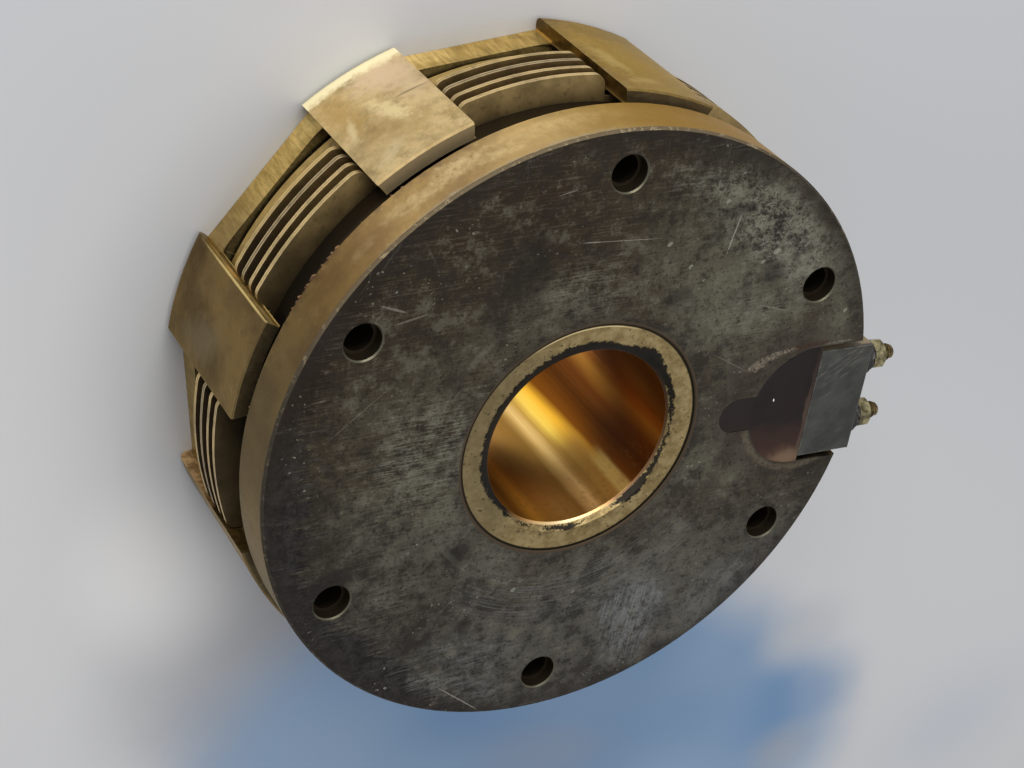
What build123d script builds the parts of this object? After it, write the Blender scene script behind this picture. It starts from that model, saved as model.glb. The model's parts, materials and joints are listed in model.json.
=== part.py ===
from build123d import *
import math
import os

# An electromagnetic multi-disc brake. The magnet body is bolted to a machine by its flat face and stands still.
# The driver turns with the machine. Its claws carry four thin outer discs, and three inner discs and an armature
# plate slide on the splined hub of the magnet body. With the coil on, the armature closes the pack on the poles.
#
# Millimetres. The axis is +Z: the driver's flat back lies at z = 0 and the mounting face at the top.
# The terminal block lies towards +X. Heights are worked out upwards from the driver's back.

os.makedirs("parts", exist_ok=True)

# Bush, and the radii of the stationary side from the bore outwards
bush_bore_radius = 27.5
bush_wall = 8.5
bush_face_recess = 0.6
bush_back_recess = 0.5
bush_mouth_width = 2.5
bush_mouth_depth = 1.2
bush_back_chamfer = 1.0
seat_gap = 0.02
bush_radius = bush_bore_radius + bush_wall

# Splined hub, retaining ring and stop washer
hub_seat_wall = 4.3
hub_wall = 5.0
hub_end_gap = 0.5
hub_end_chamfer = 0.8
spline_height = 2.5
spline_count = 16
spline_root_width = 8.4
spline_tip_width = 6.6
spline_radial_gap = 0.3
spline_flank_gap = 0.25
ring_thick = 3.0
ring_width = 5.6
ring_ear_radius = 3.0
ring_ear_hole_radius = 1.25
ring_ear_angle = 9.0
ring_gap_width = 9.0
ring_to_driver_gap = 0.3
stop_washer_thick = 0.8
stop_washer_width = 7.2
stop_washer_gap = 0.3
hub_seat_radius = bush_radius + hub_seat_wall
hub_root_radius = bush_radius + hub_wall
hub_tip_radius = hub_root_radius + spline_height
stop_washer_radius = hub_tip_radius + stop_washer_width

# Magnet body
magnet_length = 31.2
inner_pole_wall = 12.7
coil_groove_width = 18.0
outer_pole_wall = 15.0
flange_overhang = 6.5
flange_thick = 16.0
hub_seat_web = 11.2
groove_web = 3.4
face_chamfer = 0.6
flange_back_chamfer = 0.4
bore_edge_chamfer = 0.4
mounting_hole_count = 6
mounting_hole_inset = 6.0
mounting_hole_first_angle = 30.0
mounting_hole_radius = 4.25
mounting_hole_depth = 24.0
mounting_entry_radius = 5.3
mounting_entry_depth = 3.6
mounting_entry_chamfer = 0.4
coil_groove_inner_radius = hub_seat_radius + inner_pole_wall
coil_groove_outer_radius = coil_groove_inner_radius + coil_groove_width
pole_radius = coil_groove_outer_radius + outer_pole_wall
flange_radius = pole_radius + flange_overhang
mounting_hole_circle_radius = pole_radius - mounting_hole_inset

# Driver: a turned cup with slots milled through its wall, which leaves the claws
claw_pole_gap = 3.6
claw_thick = 4.4
claw_count = 8
claw_slot_width = 44.0
claw_end_gap = 5.0
claw_tip_chamfer = 0.5
flat_inset = 7.0
first_slot_angle = 8.3
driver_plate_thick = 9.2
driver_back_round = 3.0
driver_inside_round = 1.5
driver_bore_gap = 4.0
spigot_step = 4.5
spigot_depth = 4.0
driver_hole_count = 6
driver_hole_inset = 24.0
driver_hole_radius = 3.4
driver_hole_chamfer = 0.6
claw_inner_radius = pole_radius + claw_pole_gap
driver_radius = claw_inner_radius + claw_thick
flat_distance = driver_radius - flat_inset
driver_hole_circle_radius = driver_radius - driver_hole_inset
driver_bore_radius = hub_tip_radius + driver_bore_gap
spigot_radius = driver_bore_radius + spigot_step

# Armature and disc pack. Faces that lie together at rest are face_gap apart, and edges are
# found by their size within same_size
face_gap = 0.05
same_size = 0.01
armature_thick = 11.0
armature_claw_gap = 1.3
armature_chamfer = 0.8
outer_disc_thick = 1.5
inner_disc_thick = 2.2
outer_disc_bore_gap = 6.5
disc_notch_gap = 0.4
lug_side_gap = 0.6
lug_inset = 0.6
lug_corner_round = 3.5
disc_lying_gap = 0.1
open_gaps_upwards = (1.1, 1.2, 0.7)
pole_open_gap = 0.45
flux_slot_count = 4
flux_slot_width = 6.0
flux_slot_bridge_angle = 16.0
armature_radius = claw_inner_radius - armature_claw_gap
outer_disc_bore_radius = hub_tip_radius + outer_disc_bore_gap
outer_disc_radius = flat_distance + disc_notch_gap
lug_radius = driver_radius - lug_inset
lug_half_width = claw_slot_width / 2 - lug_side_gap
flux_slot_radius = coil_groove_inner_radius + coil_groove_width / 2

# Terminals: studs through a block in a slot of the rim. The slot's round inner end and a channel are shallower
stud_radius = 2.5
stud_edge_distance = 7.6
stud_inner_length = 3.2
stud_outer_length = 12.4
stud_end_chamfer = 0.5
stud_hole_gap = 0.05
insulating_washer_thick = 1.6
insulating_washer_radius = 5.6
flat_washer_thick = 1.0
flat_washer_radius = 5.0
spring_washer_thick = 1.3
spring_washer_radius = 4.6
spring_washer_cut = 1.0
washer_hole_gap = 0.15
washer_below_face = 0.9
nut_thick = 4.0
nut_across_flats = 8.0
slot_half_width = 19.5
slot_end_inset = 17.5
block_side_gap = 1.9
block_end_inset = 16.2
block_length = 18.5
block_thick = 14.0
block_edge_chamfer = 0.5
pocket_floor_gap = 0.3
potting_recess = 0.2
lead_channel_half_width = 5.6
lead_hole_inset = 2.4
lead_hole_floor_gap = 1.0
lead_radius = 0.9
lead_spacing = 3.4
lead_bend_radius = 2.2
stud_below_face = insulating_washer_radius + washer_below_face
pocket_depth = stud_below_face + stud_radius + pocket_floor_gap
slot_end_radius = flange_radius - slot_end_inset
block_half_width = slot_half_width - block_side_gap
stud_side = block_half_width - stud_edge_distance
block_inner_radius = flange_radius - block_end_inset
block_outer_radius = block_inner_radius + block_length
lead_hole_place = coil_groove_inner_radius - lead_hole_inset

# Coil in its groove
bobbin_wall = 1.2
coil_side_gap = 0.3
coil_seal_thick = 2.2
coil_seal_recess = 0.2
winding_side_gap = 0.1

# Heights, upwards from the driver's back
hub_bottom = spigot_depth + hub_end_gap
ring_bottom = driver_plate_thick + ring_to_driver_gap
stop_washer_bottom = ring_bottom + ring_thick + face_gap
armature_bottom = stop_washer_bottom + stop_washer_thick + face_gap
armature_top = armature_bottom + armature_thick
outer_disc_bottoms = [armature_top + face_gap]
inner_disc_bottoms = []
for open_gap in open_gaps_upwards:
    inner_disc_bottoms.append(outer_disc_bottoms[-1] + outer_disc_thick + disc_lying_gap)
    outer_disc_bottoms.append(inner_disc_bottoms[-1] + inner_disc_thick + open_gap)
pole_face = outer_disc_bottoms[-1] + outer_disc_thick + pole_open_gap
mounting_face = pole_face + magnet_length
flange_back = mounting_face - flange_thick
claw_top = flange_back - claw_end_gap
hub_top = mounting_face - hub_seat_web
groove_top = mounting_face - pocket_depth - groove_web
stud_height = mounting_face - stud_below_face
lead_height = groove_top - face_gap - bobbin_wall - 2 * winding_side_gap - lead_radius
lead_hole_floor = lead_height - lead_radius - lead_hole_floor_gap


def spline_profile(radial_gap, flank_gap):
    """Circle and teeth of the splines, widened by the gaps when it is the hole of a disc."""
    root = hub_root_radius + radial_gap
    tip = hub_tip_radius + radial_gap
    half_root = spline_root_width / 2 + flank_gap
    half_tip = spline_tip_width / 2 + flank_gap
    foot = root - spline_height
    with BuildSketch(Plane.XY) as profile:
        Circle(root)
        with PolarLocations(0, spline_count):
            with BuildLine():
                Polyline((foot, -half_root), (tip, -half_tip), (tip, half_tip), (foot, half_root), close=True)
            make_face()
    return profile.sketch


def pocket_profile(side_gap):
    """Round inner end of the terminal slot, with the channel to the lead hole."""
    with BuildSketch(Plane.XY) as pocket:
        with Locations((slot_end_radius, 0)):
            Circle(slot_half_width - side_gap)
        with Locations(((lead_hole_place + slot_end_radius) / 2, 0)):
            Rectangle(slot_end_radius - lead_hole_place, 2 * (lead_channel_half_width - side_gap))
        with Locations((lead_hole_place, 0)):
            Circle(lead_channel_half_width - side_gap)
    return pocket.sketch


def flux_slots():
    """Arc slots over the coil, which drive the flux through the pack instead of along the discs."""
    slot_angle = 360 / flux_slot_count - flux_slot_bridge_angle
    with BuildSketch(Plane.XY) as slots:
        with BuildLine(mode=Mode.PRIVATE):
            middle = CenterArc((0, 0), flux_slot_radius, -slot_angle / 2, slot_angle)
        with PolarLocations(0, flux_slot_count):
            SlotArc(middle, flux_slot_width)
    return slots.sketch


def save(piece, name):
    """Give the piece its name and write its file."""
    piece.label = name
    export_step(piece, f"parts/{name}.step")


# Driver
with BuildPart() as driver:
    with BuildSketch(Plane.XY):
        Circle(driver_radius)
    extrude(amount=claw_top)
    fillet(driver.edges().filter_by(GeomType.CIRCLE).sort_by(Axis.Z)[0], driver_back_round)
    with BuildSketch(Plane.XY.offset(driver_plate_thick)):
        Circle(claw_inner_radius)
    extrude(amount=claw_top, mode=Mode.SUBTRACT)
    floor_edge = driver.edges().filter_by(GeomType.CIRCLE).filter_by_position(
        Axis.Z, driver_plate_thick - same_size, driver_plate_thick + same_size)
    fillet(floor_edge, driver_inside_round)
    chamfer(driver.edges().filter_by(GeomType.CIRCLE).sort_by(Axis.Z)[-1], claw_tip_chamfer)
    with BuildSketch(Plane.XY):
        with PolarLocations(flat_distance + driver_radius / 2, claw_count, start_angle=first_slot_angle):
            Rectangle(driver_radius, claw_slot_width)
    extrude(amount=claw_top, mode=Mode.SUBTRACT)
    with BuildSketch(Plane.XY):
        Circle(driver_bore_radius)
    extrude(amount=driver_plate_thick, mode=Mode.SUBTRACT)
    with BuildSketch(Plane.XY):
        Circle(spigot_radius)
    extrude(amount=spigot_depth, mode=Mode.SUBTRACT)
    with BuildSketch(Plane.XY):
        with PolarLocations(driver_hole_circle_radius, driver_hole_count, start_angle=first_slot_angle):
            Circle(driver_hole_radius)
    extrude(amount=driver_plate_thick, mode=Mode.SUBTRACT)
    hole_edges = driver.edges().filter_by(GeomType.CIRCLE).filter_by(
        lambda edge: abs(edge.radius - driver_hole_radius) < same_size and abs(edge.center().Z) < same_size)
    chamfer(hole_edges, driver_hole_chamfer)
save(driver.part, "driver")

# Magnet body: turned in one piece, then drilled and slotted
with BuildPart() as magnet_body:
    with BuildSketch(Plane.XZ):
        with BuildLine():
            Polyline(
                (bush_radius + seat_gap, mounting_face),
                (flange_radius, mounting_face),
                (flange_radius, flange_back),
                (pole_radius, flange_back),
                (pole_radius, pole_face),
                (coil_groove_outer_radius, pole_face),
                (coil_groove_outer_radius, groove_top),
                (coil_groove_inner_radius, groove_top),
                (coil_groove_inner_radius, pole_face),
                (hub_seat_radius + seat_gap, pole_face),
                (hub_seat_radius + seat_gap, hub_top),
                (bush_radius + seat_gap, hub_top),
                close=True)
        make_face()
    revolve(axis=Axis.Z)
    rim_edges = magnet_body.edges().filter_by(GeomType.CIRCLE).filter_by(
        lambda edge: abs(edge.radius - flange_radius) < same_size)
    chamfer(rim_edges.sort_by(Axis.Z)[-1], face_chamfer)
    chamfer(rim_edges.sort_by(Axis.Z)[0], flange_back_chamfer)
    bore_edge = magnet_body.edges().filter_by(GeomType.CIRCLE).filter_by(
        lambda edge: abs(edge.radius - bush_radius - seat_gap) < same_size).sort_by(Axis.Z)[-1]
    chamfer(bore_edge, bore_edge_chamfer)
    with Locations(Plane.XY.offset(mounting_face)):
        with PolarLocations(mounting_hole_circle_radius, mounting_hole_count,
                            start_angle=mounting_hole_first_angle):
            CounterBoreHole(mounting_hole_radius, mounting_entry_radius, mounting_entry_depth, mounting_hole_depth)
    entry_edges = magnet_body.edges().filter_by(GeomType.CIRCLE).filter_by(
        lambda edge: abs(edge.radius - mounting_entry_radius) < same_size and edge.center().Z > mounting_face - same_size)
    chamfer(entry_edges, mounting_entry_chamfer)
    with BuildSketch(Plane.XY.offset(mounting_face)):
        add(pocket_profile(0))
        with Locations((slot_end_radius + flange_radius / 2, 0)):
            Rectangle(flange_radius, 2 * slot_half_width)
    extrude(amount=-pocket_depth, mode=Mode.SUBTRACT)
    with BuildSketch(Plane.XY.offset(mounting_face)):
        with Locations((block_inner_radius - face_gap + flange_radius / 2, 0)):
            Rectangle(flange_radius, 2 * slot_half_width)
    extrude(amount=-block_thick - face_gap, mode=Mode.SUBTRACT)
    with BuildSketch(Plane.XY.offset(mounting_face)):
        with Locations((lead_hole_place, 0)):
            Circle(lead_channel_half_width)
    extrude(amount=lead_hole_floor - mounting_face, mode=Mode.SUBTRACT)
save(magnet_body.part, "magnet_body")

# Splined hub: the seat goes up into the magnet body, the splines carry the discs and the armature
with BuildPart() as splined_hub:
    with BuildSketch(Plane.XY.offset(hub_bottom)):
        add(spline_profile(0, 0))
    extrude(amount=pole_face - face_gap - hub_bottom)
    with BuildSketch(Plane.XY.offset(pole_face - face_gap)):
        Circle(hub_seat_radius)
    extrude(amount=hub_top - pole_face)
    with BuildSketch(Plane.XY.offset(hub_bottom)):
        Circle(bush_radius + seat_gap)
    extrude(amount=hub_top - hub_bottom, mode=Mode.SUBTRACT)
    with BuildSketch(Plane.XY.offset(ring_bottom - face_gap)):
        Circle(hub_tip_radius + spline_height)
        Circle(hub_root_radius, mode=Mode.SUBTRACT)
    extrude(amount=ring_thick + 2 * face_gap, mode=Mode.SUBTRACT)
    chamfer(splined_hub.edges().group_by(Axis.Z)[0].filter_by(GeomType.CIRCLE).sort_by(SortBy.RADIUS)[0],
            hub_end_chamfer)
save(splined_hub.part, "splined_hub")

# Bush: pressed through the hub and the magnet body, just below the mounting face
with BuildPart() as bush:
    with BuildSketch(Plane.XZ):
        with BuildLine():
            bush_top = mounting_face - bush_face_recess
            bush_bottom = hub_bottom + bush_back_recess
            Polyline(
                (bush_bore_radius, bush_top - bush_mouth_depth),
                (bush_bore_radius + bush_mouth_width, bush_top),
                (bush_radius, bush_top),
                (bush_radius, bush_bottom),
                (bush_bore_radius + bush_back_chamfer, bush_bottom),
                (bush_bore_radius, bush_bottom + bush_back_chamfer),
                close=True)
        make_face()
    revolve(axis=Axis.Z)
save(bush.part, "bush")

# Outer discs: thin rings whose lugs stand in the driver's slots
for number, bottom in enumerate(reversed(outer_disc_bottoms), start=1):
    with BuildPart() as outer_disc:
        with BuildSketch(Plane.XY.offset(bottom)):
            with PolarLocations(lug_radius / 2, claw_count, start_angle=first_slot_angle):
                Rectangle(2 * lug_radius, 2 * lug_half_width)
            Circle(lug_radius, mode=Mode.INTERSECT)
            Circle(outer_disc_radius)
            Circle(outer_disc_bore_radius, mode=Mode.SUBTRACT)
            add(flux_slots(), rotation=first_slot_angle, mode=Mode.SUBTRACT)
        extrude(amount=outer_disc_thick)
        lug_corners = outer_disc.edges().filter_by(Axis.Z).filter_by(
            lambda edge: math.hypot(edge.center().X, edge.center().Y) > lug_radius - same_size)
        fillet(lug_corners, lug_corner_round)
    save(outer_disc.part, f"outer_disc_{number}")

# Inner discs: thin rings on the hub's splines
for number, bottom in enumerate(reversed(inner_disc_bottoms), start=1):
    with BuildPart() as inner_disc:
        with BuildSketch(Plane.XY.offset(bottom)):
            Circle(pole_radius)
            add(spline_profile(spline_radial_gap, spline_flank_gap), mode=Mode.SUBTRACT)
            add(flux_slots(), mode=Mode.SUBTRACT)
        extrude(amount=inner_disc_thick)
    save(inner_disc.part, f"inner_disc_{number}")

# Armature plate on the same splines
with BuildPart() as armature:
    with BuildSketch(Plane.XY.offset(armature_bottom)):
        Circle(armature_radius)
        add(spline_profile(spline_radial_gap, spline_flank_gap), mode=Mode.SUBTRACT)
    extrude(amount=armature_thick)
    armature_rims = armature.edges().filter_by(GeomType.CIRCLE).filter_by(
        lambda edge: abs(edge.radius - armature_radius) < same_size)
    chamfer(armature_rims, armature_chamfer)
save(armature.part, "armature")

# Stop washer and retaining ring under the armature
with BuildPart() as stop_washer:
    with BuildSketch(Plane.XY.offset(stop_washer_bottom)):
        Circle(stop_washer_radius)
        Circle(hub_tip_radius + stop_washer_gap, mode=Mode.SUBTRACT)
    extrude(amount=stop_washer_thick)
save(stop_washer.part, "stop_washer")

with BuildPart() as retaining_ring:
    with BuildSketch(Plane.XY.offset(ring_bottom)):
        ring_outer_radius = hub_root_radius + ring_width
        ear_places = PolarLocations(ring_outer_radius, 2, start_angle=-ring_ear_angle,
                                    angular_range=4 * ring_ear_angle)
        Circle(ring_outer_radius)
        with ear_places:
            Circle(ring_ear_radius)
        Circle(hub_root_radius + face_gap, mode=Mode.SUBTRACT)
        with Locations((ring_outer_radius, 0)):
            Rectangle(ring_outer_radius, ring_gap_width, mode=Mode.SUBTRACT)
        with ear_places:
            Circle(ring_ear_hole_radius, mode=Mode.SUBTRACT)
    extrude(amount=ring_thick)
save(retaining_ring.part, "retaining_ring")

# Coil bobbin, open outwards, with the winding on it and the resin seal below
bobbin_bottom = pole_face + coil_seal_recess + coil_seal_thick + face_gap
bobbin_top = groove_top - face_gap
bobbin_inner = coil_groove_inner_radius + coil_side_gap
bobbin_outer = coil_groove_outer_radius - coil_side_gap
winding_inner = bobbin_inner + bobbin_wall + winding_side_gap
with BuildPart() as coil_bobbin:
    with BuildSketch(Plane.XZ):
        with BuildLine():
            Polyline(
                (bobbin_inner, bobbin_bottom),
                (bobbin_outer, bobbin_bottom),
                (bobbin_outer, bobbin_bottom + bobbin_wall),
                (bobbin_inner + bobbin_wall, bobbin_bottom + bobbin_wall),
                (bobbin_inner + bobbin_wall, bobbin_top - bobbin_wall),
                (bobbin_outer, bobbin_top - bobbin_wall),
                (bobbin_outer, bobbin_top),
                (bobbin_inner, bobbin_top),
                close=True)
        make_face()
    revolve(axis=Axis.Z)
    with BuildSketch(Plane.YZ):
        with Locations((-lead_spacing / 2, lead_height), (lead_spacing / 2, lead_height)):
            Circle(lead_radius + winding_side_gap)
    extrude(amount=bobbin_inner + 2 * bobbin_wall, mode=Mode.SUBTRACT)
save(coil_bobbin.part, "coil_bobbin")

with BuildPart() as coil_winding:
    with BuildSketch(Plane.XZ):
        with BuildLine():
            Polyline(
                (winding_inner, bobbin_bottom + bobbin_wall + winding_side_gap),
                (bobbin_outer - winding_side_gap, bobbin_bottom + bobbin_wall + winding_side_gap),
                (bobbin_outer - winding_side_gap, bobbin_top - bobbin_wall - winding_side_gap),
                (winding_inner, bobbin_top - bobbin_wall - winding_side_gap),
                close=True)
        make_face()
    revolve(axis=Axis.Z)
save(coil_winding.part, "coil_winding")

with BuildPart() as coil_seal:
    with BuildSketch(Plane.XY.offset(pole_face + coil_seal_recess)):
        Circle(coil_groove_outer_radius - seat_gap)
        Circle(coil_groove_inner_radius + seat_gap, mode=Mode.SUBTRACT)
    extrude(amount=coil_seal_thick)
save(coil_seal.part, "coil_seal")

# Terminal block with its studs
stud_inner_end = block_inner_radius - stud_inner_length
stud_outer_end = block_outer_radius + stud_outer_length
stud_sides = {"left": stud_side, "right": -stud_side}

with BuildPart() as terminal_block:
    with BuildSketch(Plane.XY.offset(mounting_face - block_thick)):
        with Locations((block_inner_radius + block_length / 2, 0)):
            Rectangle(block_length, 2 * block_half_width)
    extrude(amount=block_thick)
    chamfer(terminal_block.edges().group_by(Axis.X)[-1], block_edge_chamfer)
    with BuildSketch(Plane.YZ.offset(block_inner_radius)):
        with Locations(*[(side, stud_height) for side in stud_sides.values()]):
            Circle(stud_radius + stud_hole_gap)
    extrude(amount=block_length, mode=Mode.SUBTRACT)
save(terminal_block.part, "terminal_block")


def ring_on_stud(side, start, thick, outer_radius, hole_radius):
    """A washer on the stud, from start outwards."""
    with BuildPart() as ring:
        with BuildSketch(Plane.YZ.offset(start)):
            with Locations((side, stud_height)):
                Circle(outer_radius)
                Circle(hole_radius, mode=Mode.SUBTRACT)
        extrude(amount=thick)
    return ring.part


cast_in_pieces = []
for name, side in stud_sides.items():
    with BuildPart() as stud:
        with BuildSketch(Plane.YZ.offset(stud_inner_end)):
            with Locations((side, stud_height)):
                Circle(stud_radius)
        extrude(amount=stud_outer_end - stud_inner_end)
        chamfer(stud.edges().sort_by(Axis.X)[-1], stud_end_chamfer)
    save(stud.part, f"terminal_stud_{name}")

    washer_hole = stud_radius + washer_hole_gap
    flat_start = block_outer_radius + insulating_washer_thick
    spring_start = flat_start + flat_washer_thick
    nut_start = spring_start + spring_washer_thick
    save(ring_on_stud(side, block_outer_radius, insulating_washer_thick, insulating_washer_radius, washer_hole),
         f"insulating_washer_{name}")
    save(ring_on_stud(side, flat_start, flat_washer_thick, flat_washer_radius, washer_hole),
         f"flat_washer_{name}")

    with BuildPart() as spring_washer:
        add(ring_on_stud(side, spring_start, spring_washer_thick, spring_washer_radius, washer_hole))
        with BuildSketch(Plane.YZ.offset(spring_start)):
            with Locations((side, stud_height - spring_washer_radius)):
                Rectangle(spring_washer_cut, 2 * (spring_washer_radius - stud_radius))
        extrude(amount=spring_washer_thick, mode=Mode.SUBTRACT)
    save(spring_washer.part, f"spring_washer_{name}")

    with BuildPart() as nut:
        corner_radius = nut_across_flats / 2 / math.cos(math.pi / 6)
        with BuildSketch(Plane.YZ.offset(nut_start)):
            with Locations((side, stud_height)):
                RegularPolygon(corner_radius, 6)
                Circle(stud_radius + stud_hole_gap, mode=Mode.SUBTRACT)
        extrude(amount=nut_thick)
        with BuildSketch(Plane.YZ.offset(nut_start)):
            with Locations((side, stud_height)):
                Circle(nut_across_flats / 2 + nut_thick)
        extrude(amount=nut_thick, taper=45, mode=Mode.INTERSECT)
    save(nut.part, f"terminal_nut_{name}")

    lead_side = math.copysign(lead_spacing / 2, side)
    with BuildPart() as lead:
        with BuildLine():
            FilletPolyline(
                (winding_inner - winding_side_gap, lead_side, lead_height),
                (lead_hole_place, lead_side, lead_height),
                (lead_hole_place, lead_side, stud_height),
                (lead_hole_place + lead_channel_half_width, lead_side, stud_height),
                (stud_inner_end - lead_bend_radius, side, stud_height),
                (stud_inner_end, side, stud_height),
                radius=lead_bend_radius)
        with BuildSketch(Plane.YZ.offset(winding_inner - winding_side_gap)):
            with Locations((lead_side, lead_height)):
                Circle(lead_radius)
        sweep()
    cast_in_pieces += [stud.part, lead.part]
    save(lead.part, f"coil_lead_{name}")

# Resin in the pocket and in the lead hole, cast round the leads and the studs
with BuildPart() as terminal_potting:
    with BuildSketch(Plane.XY.offset(mounting_face - pocket_depth + face_gap)):
        add(pocket_profile(seat_gap))
        with Locations((block_inner_radius - face_gap + flange_radius / 2, 0)):
            Rectangle(flange_radius, flange_radius, mode=Mode.SUBTRACT)
    extrude(amount=pocket_depth - face_gap - potting_recess)
    with BuildSketch(Plane.XY.offset(lead_hole_floor + face_gap)):
        with Locations((lead_hole_place, 0)):
            Circle(lead_channel_half_width - seat_gap)
    extrude(amount=mounting_face - potting_recess - lead_hole_floor - face_gap)
    with BuildSketch(Plane.XY.offset(groove_top)):
        Circle(coil_groove_outer_radius)
        Circle(coil_groove_inner_radius, mode=Mode.SUBTRACT)
    extrude(amount=pole_face - groove_top, mode=Mode.SUBTRACT)
    for cast_in in cast_in_pieces:
        add(cast_in, mode=Mode.SUBTRACT)
save(terminal_potting.part, "terminal_potting")
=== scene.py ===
# %% [markdown]
# # A worn electromagnetic multi-disc brake
# The machined pieces come from CAD as a fixed frame: a flanged magnet body with a bronze bush, a pack of thin discs
# and an outer driver with eight claws. They are never moved or reshaped here. This file gives each of them the finish
# of a used machine part, and models what CAD leaves plain: threaded studs, split washers, poured resin and rust.
# Everything is in metres, with +Z out of the mounting face and +X towards the terminals.

# %% Load the frame
import json
import random
from math import atan2, cos, degrees, hypot, radians, sin

import bpy
from bpy import ops
from mathutils import Euler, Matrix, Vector

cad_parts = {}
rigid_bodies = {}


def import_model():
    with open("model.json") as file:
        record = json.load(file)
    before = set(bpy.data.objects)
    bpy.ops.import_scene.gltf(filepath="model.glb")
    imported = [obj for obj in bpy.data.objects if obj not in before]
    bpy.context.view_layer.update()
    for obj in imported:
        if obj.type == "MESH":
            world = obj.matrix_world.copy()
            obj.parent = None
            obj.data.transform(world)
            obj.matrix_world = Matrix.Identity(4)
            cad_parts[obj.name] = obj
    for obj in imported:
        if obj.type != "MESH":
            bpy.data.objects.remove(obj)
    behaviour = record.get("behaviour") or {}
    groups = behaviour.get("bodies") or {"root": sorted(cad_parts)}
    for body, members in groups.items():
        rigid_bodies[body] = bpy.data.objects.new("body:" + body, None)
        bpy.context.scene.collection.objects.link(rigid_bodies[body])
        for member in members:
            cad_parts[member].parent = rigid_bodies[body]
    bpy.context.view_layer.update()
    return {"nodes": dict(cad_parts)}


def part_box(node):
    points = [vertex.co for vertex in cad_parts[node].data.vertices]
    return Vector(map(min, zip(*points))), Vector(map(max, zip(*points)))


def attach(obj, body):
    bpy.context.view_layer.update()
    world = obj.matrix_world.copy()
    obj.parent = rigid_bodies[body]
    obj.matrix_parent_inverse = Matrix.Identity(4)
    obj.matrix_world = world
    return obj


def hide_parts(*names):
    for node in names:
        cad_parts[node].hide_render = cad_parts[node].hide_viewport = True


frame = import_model()
nodes = frame["nodes"]
mm = 0.001

# %% [markdown]
# ## Camera
# The photograph looks down on the mounting face from about 43 degrees off the axis, with the picture turned so that
# the axis points down to the right. The lens is a long one: a short lens would make the near rim too large.

# %% Camera
camera_place = (-0.2746, 0.29445, 0.47204)
camera_turn = (-34.502, -27.014, 9.027)
camera_lens = 73.45

camera_data = bpy.data.cameras.new("camera")
camera_data.lens = camera_lens
camera = bpy.data.objects.new("camera", camera_data)
camera.location = camera_place
camera.rotation_euler = Euler([radians(angle) for angle in camera_turn], "XYZ")
bpy.context.collection.objects.link(camera)
bpy.context.scene.camera = camera
print("camera at", camera_place, "lens", camera_lens)

# %% [markdown]
# ## Mixing finishes
# A worn metal is several layers: the metal, its tarnish, dirt in the corners, and scratches through all of it. Here
# painted light and shade are layers too. Each layer is a mask between 0 and 1, made from noise or from the place on
# the piece, that mixes two colours. A small class keeps that short. All sizes given to it are in millimetres, because
# the place on the piece is scaled first.
# Three values in brackets, such as (radius, 84, 91.5), are a mask that rises from 0 to 1 between the last two.

# %% A finish and its masks
noise_spread = 0.42
seed_steps = (173, 311, 97)


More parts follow.
